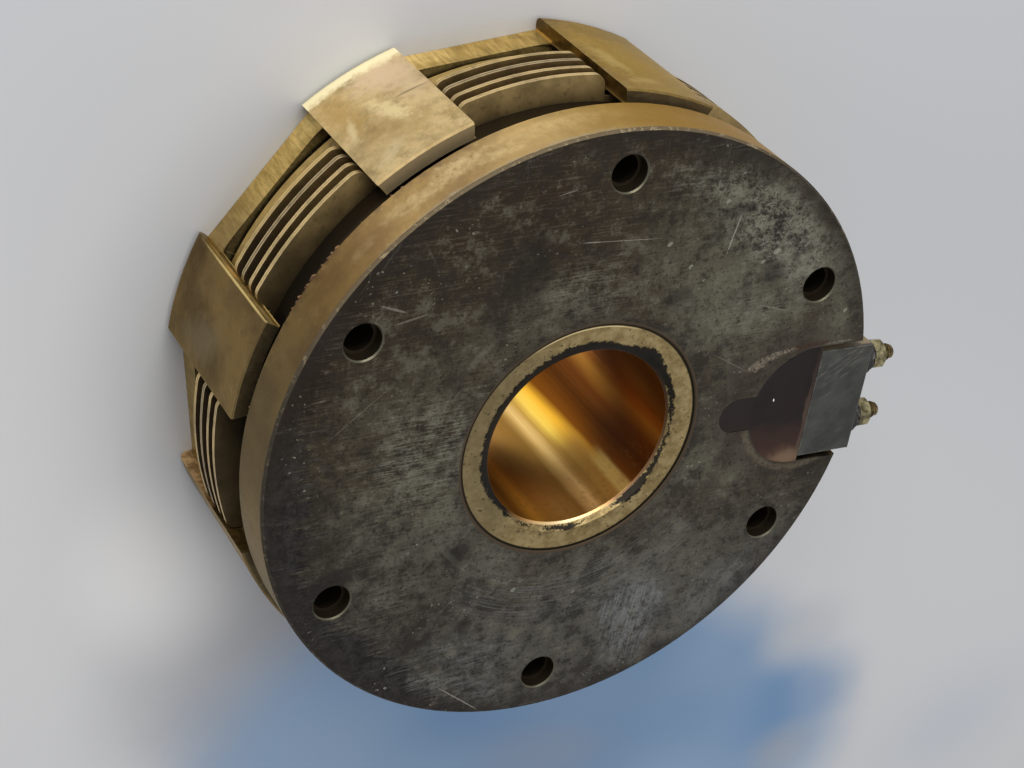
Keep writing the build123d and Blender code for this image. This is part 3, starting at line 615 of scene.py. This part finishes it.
# %% Marks and painted highlights on the claws that face the window
# The palest marks, at 119.9, 124.5 and 126.8 degrees, are painted highlights; the rest are rubbed, golden and dark
# marks.
claw_marks_and_highlights = (
    (117.3, 10.5, 9, 8, 0, 0.85, 0.8, (0.95, 0.74, 0.5)), (114.5, 18, 6, 12, 10, 0.6, 0.9, (0.92, 0.71, 0.47)),
    (126.5, 18, 5.5, 14, 10, 0.7, 0.8, (0.58, 0.375, 0.12)), (121, 38, 9, 9, 30, 0.45, 0.9, (0.6, 0.42, 0.17)),
    (119.9, 27.7, 8.5, 2.6, 114, 0.9, 1.4, (1, 0.82, 0.44)), (126.8, 26, 6, 1.2, 75, 0.6, 1, (1, 0.84, 0.48)),
    (115.2, 24.4, 5, 0.5, 176, 0.7, 0.5, (0.26, 0.19, 0.09)), (124.5, 44, 6, 2.4, 35, 0.4, 1, (0.92, 0.78, 0.48)),
    (76, 28, 16, 30, 0, 0.85, 0.6, (0.42, 0.255, 0.018)), (80.8, 30, 3, 9, 8, 0.45, 0.9, (0.76, 0.6, 0.24)),
    (79, 44, 5, 2, 12, 0.4, 1, (0.7, 0.53, 0.2)), (72, 8, 12, 9, 0, 0.5, 0.9, (0.2, 0.135, 0.045)))
for azimuth, *where, strength, ragged, colour in claw_marks_and_highlights:
    mark = driver.spot(azimuth * claw_arc, *where, ragged=ragged, grain=2.6, place=wall, soft=0.8)
    driver.lay(mark, colour, strength)
# Painted shade on the claws turned from the window, round 205 degrees.
shaded_claws = driver.line(bearing, 205, 50, 12)
shade_tone = driver.mix((tone, 0.36, 0.6), (0.07, 0.043, 0.019), (0.165, 0.105, 0.045))
driver.lay(shaded_claws, shade_tone, 0.8)
grey_rub = driver.spot(169.6 * claw_arc, 24, 6, 13, 20, ragged=0.8, grain=5, place=wall, soft=0.8)
driver.lay(grey_rub, (0.22, 0.185, 0.125), 0.5)
# Painted highlight along the back edge of the claw that faces the window.
back_edge_highlight = driver.both((driver.sway(driver.z, fine_tone, 4), 8.2, 4.4), window_lit_claw)
driver.lay(back_edge_highlight, (1, 0.9, 0.56), 0.92)

# %% Flats, claw ends and worn edges of the driver, with painted light and shade
flat_lines = driver.noise(1, detail=4, roughness=0.7, stretch=(1.1, 1.1, 7), seed=7)
claw = driver.colour
driver.colour = driver.mix((flat_lines, 0.34, 0.66), (0.52, 0.355, 0.11), (0.8, 0.585, 0.215))
driver.lay(driver.patches(5, 0.25, soft=0.12, detail=5, seed=8), (0.2, 0.135, 0.05), 0.4)
# Painted shade on the flats beside the shaded claws.
driver.lay(shaded_claws, (0.15, 0.115, 0.07), 0.5)
flats = driver.colour
driver.colour = driver.mix(outside, flats, claw)
turned_out = driver.vector("DOT_PRODUCT", driver.normal, driver.place, output="Value")
flank = driver.both((turned_out, 55, 35), (driver.facing_z, 0.5, 0.3), outside)
flank_tone = driver.mix((fine_tone, 0.36, 0.64), (0.06, 0.037, 0.012), (0.17, 0.108, 0.032))
driver.lay(flank, flank_tone, 0.85)
lit_flank = driver.both(flank, driver.line(bearing, 201.6, 1, 0.6), (driver.z, 32, 16))
driver.lay(lit_flank, driver.mix((fine_tone, 0.36, 0.6), (0.42, 0.27, 0.12), (0.88, 0.6, 0.32)), 0.9)
# Painted shade on the inner walls of the claws, above the plate.
driver.lay(driver.both((driver.z, 9, 10), driver.not_in(outside)), (0.1, 0.062, 0.021), 0.75)
# Painted shade on the driver inside radius 85.4, under the disc pack.
driver.lay((radius, 86.8, 85.4), (0.028, 0.02, 0.012), 0.93)
claw_end = driver.both((driver.z, 50.9, 50.98), (driver.facing_z, 0.8, 0.95))
end_tone = driver.mix((fine_tone, 0.38, 0.62), (0.085, 0.066, 0.042), (0.175, 0.14, 0.088))
# Painted light on the end of the claw that faces the window.
end_tone = driver.mix(driver.level(window_lit_claw, 0, 0.8), end_tone, (0.27, 0.215, 0.135))
driver.lay(claw_end, end_tone, 0.92)
# Painted shade on the chamfer at the claw ends.
end_corner = driver.both((driver.z, 49.9, 50.5), outside)
driver.lay(end_corner, (0.2, 0.14, 0.06), 0.45)
edge_wear = driver.both(driver.edges(0.4), driver.patches(5, 0.45, soft=0.2, seed=9))
driver.lay(edge_wear, (0.72, 0.55, 0.27), 0.35)
# Painted highlight along one edge of the claw at 157 degrees.
gold_edge_highlight = driver.spot(157.1 * claw_arc, 32, 0.45, 26, 0, ragged=0.35, grain=4, place=wall, soft=0.6)
driver.lay(gold_edge_highlight, (1, 0.76, 0.3), 0.85)
claw_lines = driver.scratches(0.12, 18, 60, 0.22, seed=2, place=wall)
driver.lay(claw_lines, (0.84, 0.72, 0.46), 0.22)
driver.relief((fine_tone, 0.06), (flat_lines, 0.02), (tone, 0.25))
dull = driver.either(back_edge_highlight, driver.both(window_lit_claw, driver.either(claw_end, end_corner)))
driver_rough = driver.math("ADD", driver.level(fine_tone, 0.2, 0.42), driver.level(tone, -0.04, 0.12))
driver_rough = driver.math("ADD", driver_rough, driver.level(driver.both(window_lit_claw, end_corner), 0, 0.35))
dress("driver", driver.surface(driver_rough, Metallic=driver.level(dull, 0.78, 0.2), Specular_IOR_Level=0.3,
                               Specular_Tint=(1, 0.86, 0.62)))

# %% [markdown]
# ## The disc pack
# The discs are thin ground steel. Their rims are rubbed to a pale tan, with painted highlights along their corners,
# and their flat sides stay olive brown with oil. Painted shade darkens the flat sides towards the middle, between the
# discs, and on the side turned from the light, and dark dust lies on them in patches.

# %% Discs and armature
def dress_disc(piece, rim_colour, side_colour, rim_radius, seed, middle=0.7):
    """Ground steel with a rubbed rim, painted highlights on its corners and painted shade between them, less as middle
    rises.
    """
    low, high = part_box(piece)
    centre, reach = (low.z + high.z) / (2 * mm), (high.z - low.z) / (2 * mm)
    disc = Finish(f"{piece}_steel", metallic=0.6)
    radius = disc.radius()
    side = disc.band(disc.math("ABSOLUTE", disc.facing_z), 0.5, 0.8)
    grain = disc.noise(1, detail=5, roughness=0.7, stretch=(4, 4, 0.3), seed=seed)
    stain = disc.noise(7, detail=6, roughness=0.68, seed=seed + 1)
    rim = disc.mix((stain, 0.3, 0.6), tuple(0.6 * part for part in rim_colour), rim_colour)
    rim = disc.mix(disc.level((grain, 0.5, 0.75), 0, 0.5), rim, (0.86, 0.7, 0.42))
    # Painted highlights along the rim's corners, and painted shade between them, lighter as middle rises.
    corners = disc.band(disc.math("ABSOLUTE", disc.math("SUBTRACT", disc.z, centre)), reach - 0.6, reach - 0.25)
    rim = disc.mix(corners, disc.mix(1 - middle, rim, (0.14, 0.09, 0.035)), rim)
    flat = disc.mix((stain, 0.28, 0.68), tuple(0.6 * part for part in side_colour), side_colour)
    # Painted shade on the flat sides towards the middle, between the discs.
    flat = disc.mix((radius, rim_radius - 2, rim_radius - 13), flat, (0.034, 0.026, 0.016))
    # Painted shade on the side turned from the light, round 180 degrees.
    side_in_shade = disc.line(disc.math("ABSOLUTE", disc.angle()), 190, 34, 24)
    flat = disc.mix(disc.level(side_in_shade, 0, 0.75), flat, (0.024, 0.018, 0.012))
    disc.colour = disc.mix(side, rim, flat)
    dust = disc.patches(2.2, 0.18, soft=0.1, detail=4, seed=seed + 2)
    disc.lay(dust, (0.075, 0.043, 0.024), 0.4)
    disc.relief((grain, 0.02), (stain, 0.03))
    dress(piece, disc.surface(disc.level(stain, 0.3, 0.6)))


outer_rim, inner_rim, armature_rim = 93.4, 86, 88
outer_discs = (((0.8, 0.59, 0.27), (0.46, 0.325, 0.136), 0.75), ((0.76, 0.56, 0.26), (0.23, 0.15, 0.056), 0.7),
               ((0.62, 0.48, 0.26), (0.21, 0.134, 0.052), 0.25), ((0.74, 0.54, 0.23), (0.23, 0.15, 0.056), 0.7))
for number, (rim_colour, side_colour, middle) in enumerate(outer_discs, start=1):
    dress_disc(f"outer_disc_{number}", rim_colour, side_colour, outer_rim, 3.7 * number, middle)
for number in range(1, 4):
    dress_disc(f"inner_disc_{number}", (0.15, 0.1, 0.048), (0.09, 0.07, 0.04), inner_rim, 40 + 2.9 * number)
dress_disc("armature", (0.52, 0.35, 0.1), (0.1, 0.075, 0.04), armature_rim, 61, 0.9)

# %% [markdown]
# ## The bronze bush
# The ring that shows in the face is dull, olive-tan bronze with black grime along its inner edge, thick on one side and
# in blobs on the other. The bore is a bright running surface; its bands of yellow and brown along its length are
# painted reflections, and its edge has painted highlight and shade.

# %% Ring of the bush
bronze = Finish("running_bronze", metallic=1)
radius = bronze.radius()
bearing = bronze.azimuth()
ring = bronze.band(radius, 28.1, 28.4)
ring_tone = bronze.noise(3, detail=5, roughness=0.62, seed=1)
bronze.colour = bronze.mix((ring_tone, 0.32, 0.68), (0.29, 0.208, 0.084), (0.47, 0.355, 0.165))
bronze.lay(bronze.line(bearing, 175, 38, 40), (0.185, 0.145, 0.075), 0.55)
ring_specks = bronze.patches(1.2, 0.1, soft=0.05, detail=2, seed=2)
bronze.lay(ring_specks, (0.045, 0.032, 0.018), 0.75)
grime_film = bronze.both(bronze.patches(2.4, 0.3, soft=0.16, detail=6, roughness=0.75, seed=12), (radius, 34.5, 30))
bronze.lay(grime_film, (0.075, 0.055, 0.03), 0.6)
ragged = bronze.noise(1.7, detail=7, roughness=0.78, seed=3)
ragged_radius = bronze.sway(radius, ragged, 2.6)
grime_outer = bronze.ramp(
    bearing, (0, 0.294), (14, 0.3), (30, 0.302), (42, 0.31), (52, 0.322), (60, 0.312), (70, 0.298), (84, 0.306),
    (100, 0.311), (118, 0.309), (145, 0.307), (165, 0.306), (185, 0.302), (205, 0.297), (222, 0.29), (236, 0.288),
    (244, 0.297), (250, 0.285), (262, 0.296), (274, 0.302), (284, 0.29), (300, 0.288), (310, 0.308), (318, 0.312),
    (326, 0.3), (345, 0.294), (360, 0.294))
grime_inner = bronze.ramp(
    bearing, (0, 0.288), (25, 0.284), (40, 0.27), (220, 0.27), (236, 0.288), (300, 0.288), (312, 0.28), (330, 0.284),
    (360, 0.288))
grime = bronze.both(
    (bronze.math("MULTIPLY_ADD", grime_outer, 100, bronze.math("MULTIPLY", ragged_radius, -1)), -0.25, 0.3),
    (bronze.math("MULTIPLY_ADD", grime_inner, -100, ragged_radius), -0.2, 0.1))
bronze.lay(grime, (0.01, 0.0095, 0.009), 0.96)
bronze.lay((radius, 35.35, 35.55), (0.012, 0.009, 0.006), 0.95)
lit_edge = bronze.both(bronze.line(radius, 35.15, 0.08, 0.16), bronze.line(bearing, 96, 14, 18))
bronze.lay(lit_edge, (1, 0.8, 0.42), 0.9)

# %% Bore of the bush, with painted reflections
sag = bronze.noise(1, stretch=(9, 9, 60), seed=8)
reflection_bands_turn = bronze.sway(bearing, sag, 5)
fine_streak = bronze.noise(1, roughness=0.6, stretch=(0.5, 0.5, 40), seed=11)
ring_colour = bronze.colour
# Painted reflections: bands of colour round the bore, drawn out along its length.
bronze.colour = bronze.ramp(
    reflection_bands_turn, (0, (0.26, 0.08, 0.006)), (14, (0.19, 0.056, 0.004)), (60, (0.3, 0.11, 0.014)),
    (180, (0.34, 0.14, 0.025)), (240, (0.26, 0.095, 0.012)), (254, (0.8, 0.36, 0.045)), (263, (0.52, 0.24, 0.045)),
    (275, (0.46, 0.26, 0.068)), (285, (0.3, 0.175, 0.042)), (290, (0.66, 0.45, 0.165)), (294, (0.82, 0.6, 0.26)),
    (298, (0.54, 0.34, 0.085)), (303, (1, 0.74, 0.14)), (309, (0.95, 0.55, 0.05)), (316, (0.2, 0.066, 0.005)),
    (329, (0.07, 0.02, 0.0015)), (341, (0.13, 0.038, 0.003)), (350, (0.36, 0.165, 0.022)), (355, (0.3, 0.105, 0.008)),
    (360, (0.26, 0.08, 0.006)))
# The yellow painted reflection is darkened towards the mouth, above z 30 to 46.
yellow_reflection_end = bronze.both(bronze.line(reflection_bands_turn, 305, 4, 7), (bronze.z, 30, 46))
bronze.lay(yellow_reflection_end, (0.33, 0.19, 0.055), 0.85)
# Painted shade deep in the bore, round 278 degrees, below z 34 to 50.
deep_shade_end = bronze.both(bronze.line(reflection_bands_turn, 278, 9, 5), (bronze.z, 50, 34))
bronze.lay(deep_shade_end, (0.24, 0.125, 0.02), 0.45)
# A greenish painted reflection near the mouth, round 313.5 degrees.
green_reflection_end = bronze.both(bronze.line(reflection_bands_turn, 313.5, 2.5, 4), (bronze.z, 48, 58))
bronze.lay(green_reflection_end, (0.62, 0.5, 0.17), 0.9)
bronze.lay((fine_streak, 0.56, 0.4), (0.22, 0.1, 0.02), 0.1)
bore_stain = bronze.both(bronze.patches(1.6, 0.22, soft=0.12, seed=9), (bronze.z, 42, 66))
bronze.lay(bore_stain, (0.2, 0.105, 0.03), 0.35)
# Painted highlight and painted shade round the edge of the bore, by bearing.
bore_edge = bronze.both((radius, 27.51, 27.56), (bronze.z, 60, 65))
lit_and_shaded_edge_tone = bronze.ramp(
    bearing, (0, (0.1, 0.052, 0.022)), (30, (0.05, 0.025, 0.012)), (50, (0.012, 0.008, 0.005)),
    (226, (0.012, 0.008, 0.005)), (240, (0.4, 0.2, 0.06)), (252, (0.95, 0.6, 0.26)), (272, (1, 0.8, 0.46)),
    (292, (0.7, 0.42, 0.18)), (306, (0.16, 0.085, 0.035)), (335, (0.2, 0.105, 0.05)), (360, (0.1, 0.052, 0.022)))
bronze.colour = bronze.mix(ring, bronze.mix(bore_edge, bronze.colour, lit_and_shaded_edge_tone), ring_colour)
bronze_rough = bronze.math("ADD", bronze.level(ring, 0.27, 0.42), bronze.level(fine_streak, -0.02, 0.06))
bronze.relief((fine_streak, 0.0012), (bronze.both(ring_tone, ring), 0.01))
bronze_metal = bronze.either(bronze.level((bronze.z, 36, 68), 1, 0.72), bronze.level(ring, 0, 0.85))
dress("bush", bronze.surface(bronze_rough, Metallic=bronze_metal))

# %% [markdown]
# ## Small parts
# The terminal block is a grey-green moulded laminate. Studs and nuts are yellow zinc gone dull, with dark steel
# washers, and black fibre washers keep them off the rim. The resin poured round the leads is nearly black, and
# reddish where it is thin. What lies hidden, such as the hub and the coil, gets a plain finish, because the disc pack
# can be opened and the part may be seen from any side.

# %% Plain finishes with two tones
def two_tone(name, dark, light, size, roughness, metallic=0, height=0.02, **sockets):
    """A finish with soft cloudy tones and fine relief."""
    made = Finish(name, metallic)
    cloud = made.noise(size, detail=5, roughness=0.65, seed=len(name))
    grain = made.noise(size / 8, detail=4, roughness=0.7, seed=len(name) + 1)
    made.colour = made.mix((cloud, 0.34, 0.66), dark, light)
    made.lay((grain, 0.52, 0.72), tuple(min(1, 1.5 * part) for part in light), 0.35)
    made.relief((grain, height))
    return made.surface(made.level(grain, *roughness), **sockets)


zinc = two_tone("dull_zinc", (0.07, 0.05, 0.021), (0.24, 0.185, 0.09), 2.2, (0.3, 0.55), metallic=0.75)
nut_zinc = two_tone("nut_zinc", (0.1, 0.085, 0.042), (0.58, 0.5, 0.27), 2.4, (0.22, 0.42), metallic=0.85)
washer_steel = two_tone("washer_steel", (0.02, 0.018, 0.016), (0.115, 0.108, 0.098), 1.6, (0.3, 0.5), metallic=0.7)
fibre = two_tone("black_fibre", (0.008, 0.008, 0.008), (0.018, 0.017, 0.016), 3, (0.45, 0.65))
hub_steel = two_tone("plain_hub_steel", (0.16, 0.14, 0.11), (0.34, 0.31, 0.26), 12, (0.3, 0.5), metallic=0.8)
moulding = two_tone("coil_moulding", (0.3, 0.24, 0.15), (0.45, 0.38, 0.25), 8, (0.45, 0.6))
copper = two_tone("enamelled_copper", (0.3, 0.1, 0.035), (0.6, 0.25, 0.1), 1.2, (0.25, 0.4), metallic=0.7)
rust = two_tone("rust_crumbs", (0.055, 0.026, 0.012), (0.24, 0.125, 0.05), 1, (0.6, 0.85))

# %% Laminate of the terminal block
board = Finish("block_laminate")
weave = board.noise(1, detail=4, roughness=0.6, stretch=(0.5, 7, 1), turn=-58, seed=1)
blot = board.noise(8, detail=5, roughness=0.6, seed=2)
board.colour = board.mix((blot, 0.36, 0.64), (0.0215, 0.0215, 0.0185), (0.04, 0.0405, 0.034))
board.lay((weave, 0.55, 0.72), (0.12, 0.115, 0.1), 0.35)
block_rubs = board.both(board.spot(85, 13, 10, 5, 35, ragged=1, grain=3, soft=0.8), (weave, 0.46, 0.62))
board.lay(block_rubs, (0.15, 0.14, 0.11), 0.5)
block_edge = board.both(board.edges(0.5), board.patches(4, 0.6, soft=0.15, seed=4))
board.lay(block_edge, (0.22, 0.2, 0.16), 0.65)
# Painted light on the side of the block that faces +Y.
board.lay(board.both((board.z, 71.6, 70.2), (board.facing_y, 0.6, 0.8)), (0.27, 0.205, 0.115), 0.85)
board.relief((weave, 0.02), (blot, 0.05))
dress("terminal_block", board.surface(board.level(blot, 0.4, 0.6)))

# %% Poured resin
pitch = Finish("poured_resin")
pool = pitch.noise(9, seed=1)
pitch.colour = pitch.mix((pool, 0.4, 0.6), (0.005, 0.0036, 0.0036), (0.0095, 0.0058, 0.0048))
pitch.lay((pitch.x, 58, 54), (0.013, 0.0085, 0.0062), 0.6)
pitch.lay((pitch.sway(pitch.y, pool, 7), -2, -15), (0.05, 0.022, 0.014), 0.55)
pitch.lay((pitch.sway(pitch.y, pool, 5), -13, -17.5), (0.115, 0.068, 0.04), 0.8)
seam = pitch.band(pitch.sway(pitch.x, pool, 1.5), 74.6, 75.8)
seam_fade = pitch.level((pitch.y, 16, -8), 0.3, 0.9)
pitch.lay(pitch.both(seam, seam_fade), (0.07, 0.045, 0.034))
tan_foot = pitch.spot(73, -17.8, 6.5, 2.6, 0, ragged=0.8, grain=2, soft=0.9)
pitch.lay(tan_foot, (0.15, 0.1, 0.062), 0.7)
glint = pitch.spot(63, 3.2, 0.25, 0.55, 10, ragged=0.3, grain=0.8)
pitch.lay(glint, (0.75, 0.75, 0.72))
resin_grain = pitch.noise(1.6, detail=4, seed=7)
pitch.relief((pool, 0.12), (resin_grain, 0.02))
resin = pitch.surface(pitch.level(resin_grain, 0.34, 0.55), Specular_IOR_Level=0.3, Specular_Tint=(1, 0.86, 0.8))

# %% Small parts dressed
dress("terminal_potting", resin)
dress("coil_seal", resin)
dress("coil_bobbin", moulding)
dress("coil_winding", copper)
for name in ("splined_hub", "stop_washer", "retaining_ring"):
    dress(name, hub_steel)
for side in ("left", "right"):
    dress(f"coil_lead_{side}", copper)
    dress(f"insulating_washer_{side}", fibre)
    dress(f"terminal_stud_{side}", zinc)
    dress(f"terminal_nut_{side}", nut_zinc)
    for name in ("flat_washer", "spring_washer"):
        dress(f"{name}_{side}", washer_steel)

# %% [markdown]
# ## Modelled details
# Four kinds of piece are modelled here with Blender's own operations: the threads of the terminal studs, the split
# washers under the nuts, the sunken surface of the poured resin, and the crumbs of rust behind the rim. Those that
# stand for a plain CAD piece take its place and stay inside its box.

# %% Modelling helpers
def mode(name):
    """Go to EDIT or OBJECT mode."""
    ops.object.mode_set(mode=name)


def edit_all():
    """Go to edit mode with everything selected."""
    mode("EDIT")
    ops.mesh.select_all(action="SELECT")


def only(piece):
    """Select one piece alone."""
    ops.object.select_all(action="DESELECT")
    piece.select_set(True)
    bpy.context.view_layer.objects.active = piece


def settle(piece):
    """Put the place, turn and size of a piece into its mesh."""
    only(piece)
    ops.object.transform_apply(location=True, rotation=True, scale=True)


def pick_faces(piece, wanted):
    """In edit mode, select the faces for which wanted(face) is true."""
    mode("EDIT")
    ops.mesh.select_mode(type="FACE")
    ops.mesh.select_all(action="DESELECT")
    mode("OBJECT")
    for face in piece.data.polygons:
        face.select = wanted(face)
    mode("EDIT")


def sweep(piece, turns, steps, rise, angle=360):
    """Sweep an open section round the X axis along a helix, close its ends and turn its faces outwards."""
    screw = piece.modifiers.new("sweep", "SCREW")
    screw.axis = "X"
    screw.angle = radians(angle)
    screw.iterations = turns
    screw.steps = screw.render_steps = steps
    screw.screw_offset = rise
    only(piece)
    ops.object.modifier_apply(modifier=screw.name)
    edit_all()
    ops.mesh.remove_doubles(threshold=0.0000005)
    ops.mesh.fill_holes(sides=16)
    ops.mesh.normals_make_consistent(inside=False)
    mode("OBJECT")


def hand_over(piece, name, material, smooth=35):
    """Name, dress and place a finished piece on the magnet."""
    only(piece)
    ops.object.shade_smooth_by_angle(angle=radians(smooth))
    piece.name = name
    piece.data.name = name
    piece.data.materials.clear()
    piece.data.materials.append(material)
    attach(piece, "magnet")
    print("made", name, "faces", len(piece.data.polygons))


# %% Threaded studs
thread_pitch = 0.8 * mm
thread_root = 2.06 * mm
thread_ridge = 0.42 * mm
thread_sink = 0.02 * mm
thread_run_out = 1.5 * mm
thread_steps = 24
thread_start = 94.9 * mm
stud_chamfer = 0.5 * mm
chamfer_scale = 0.76

for side in ("left", "right"):
    low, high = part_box(f"terminal_stud_{side}")
    middle = (low + high) / 2
    shank_radius = (high.z - low.z) / 2
    ops.mesh.primitive_cylinder_add(
        vertices=32, radius=shank_radius, depth=thread_start - low.x, location=((low.x + thread_start) / 2, 0, 0),
        rotation=(0, radians(90), 0))
    stud = bpy.context.object
    settle(stud)
    pick_faces(stud, lambda face: face.center.x > thread_start - 0.1 * mm)
    ops.mesh.inset(thickness=shank_radius - thread_root)
    for length, scale in ((high.x - thread_start - stud_chamfer, 1), (stud_chamfer, chamfer_scale)):
        ops.mesh.extrude_region_move(TRANSFORM_OT_translate={"value": (length, 0, 0)})
        ops.transform.resize(value=(1, scale, scale), center_override=(high.x, 0, 0))
    mode("OBJECT")
    ops.mesh.primitive_circle_add(
        vertices=3, radius=thread_ridge, rotation=(radians(90), 0, 0),
        location=(thread_start + stud_chamfer, 0, shank_radius - thread_ridge - thread_sink))
    ridge = bpy.context.object
    settle(ridge)
    turns = int((high.x - thread_start - thread_run_out) / thread_pitch)
    sweep(ridge, turns, thread_steps, thread_pitch)
    only(stud)
    ridge.select_set(True)
    ops.object.join()
    ops.transform.translate(value=(0, middle.y, middle.z))
    settle(stud)
    hand_over(stud, f"threaded_stud_{side}", zinc)
    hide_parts(f"terminal_stud_{side}")

# %% Split washers
washer_squeeze = 0.8
washer_gap = 14
washer_bore = 2.65 * mm
washer_bevel = 0.16 * mm
washer_steps = 48
washer_climb = 0.96

for side in ("left", "right"):
    low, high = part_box(f"spring_washer_{side}")
    middle = (low + high) / 2
    outer = (high.y - low.y) / 2
    thick = (high.x - low.x) * washer_squeeze
    ops.mesh.primitive_plane_add(
        size=1, rotation=(radians(90), 0, 0), location=(low.x + thick / 2, 0, (washer_bore + outer) / 2))
    washer = bpy.context.object
    washer.scale = (thick, outer - washer_bore, 1)
    settle(washer)
    edit_all()
    ops.mesh.bevel(offset=washer_bevel, segments=2, affect="VERTICES")
    ops.mesh.select_all(action="SELECT")
    ops.mesh.delete(type="ONLY_FACE")
    mode("OBJECT")
    rise = (high.x - low.x - thick) * washer_climb
    sweep(washer, 1, washer_steps, rise, angle=360 - washer_gap)
    ops.transform.translate(value=(0, middle.y, middle.z))
    settle(washer)
    hand_over(washer, f"split_washer_{side}", washer_steel)
    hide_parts(f"spring_washer_{side}")

# %% Poured resin with a sunken surface
only(nodes["terminal_potting"])
ops.object.duplicate()
poured = bpy.context.object
ops.object.parent_clear(type="CLEAR_KEEP_TRANSFORM")
edit_all()
ops.mesh.remove_doubles(threshold=0.000001)
mode("OBJECT")
resin_top = max(corner.co.z for corner in poured.data.vertices)
pick_faces(poured, lambda face: face.normal.z > 0.9 and face.center.z > resin_top - 0.05 * mm)
ops.mesh.dissolve_faces()
for width, drop in ((0.35 * mm, 0.04 * mm), (0.45 * mm, 0.12 * mm)):
    ops.mesh.inset(thickness=width, depth=-drop)
mode("OBJECT")
hand_over(poured, "poured_resin_surface", resin, smooth=50)
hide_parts("terminal_potting")

# %% Crumbs of rust behind the rim
crumb_count = 46
crumb_foot = 56 * mm
crumb_dice = random.Random(11)
crumbs = []
for number in range(crumb_count):
    azimuth = radians(crumb_dice.choice((crumb_dice.uniform(140, 153), crumb_dice.gauss(146, 9))))
    size = crumb_dice.uniform(0.2, 0.3 + 0.5 * crumb_dice.random()) * mm
    reach = crumb_dice.uniform(91.7, 92.3) * mm
    height = crumb_foot - crumb_dice.uniform(-0.1, 0.5) * size
    ops.mesh.primitive_ico_sphere_add(
        subdivisions=2, radius=size, location=(reach * cos(azimuth), reach * sin(azimuth), height),
        rotation=(number, 2 * number, 0.5 * number))
    crumb = bpy.context.object
    edit_all()
    ops.transform.vertex_random(offset=0.34 * size, seed=number)
    ops.transform.resize(value=(1.5, 0.9, 0.7))
    mode("OBJECT")
    crumbs.append(crumb)
only(crumbs[0])
for crumb in crumbs:
    crumb.select_set(True)
ops.object.join()
settle(crumbs[0])
hand_over(crumbs[0], "rust_crumbs", rust, smooth=20)
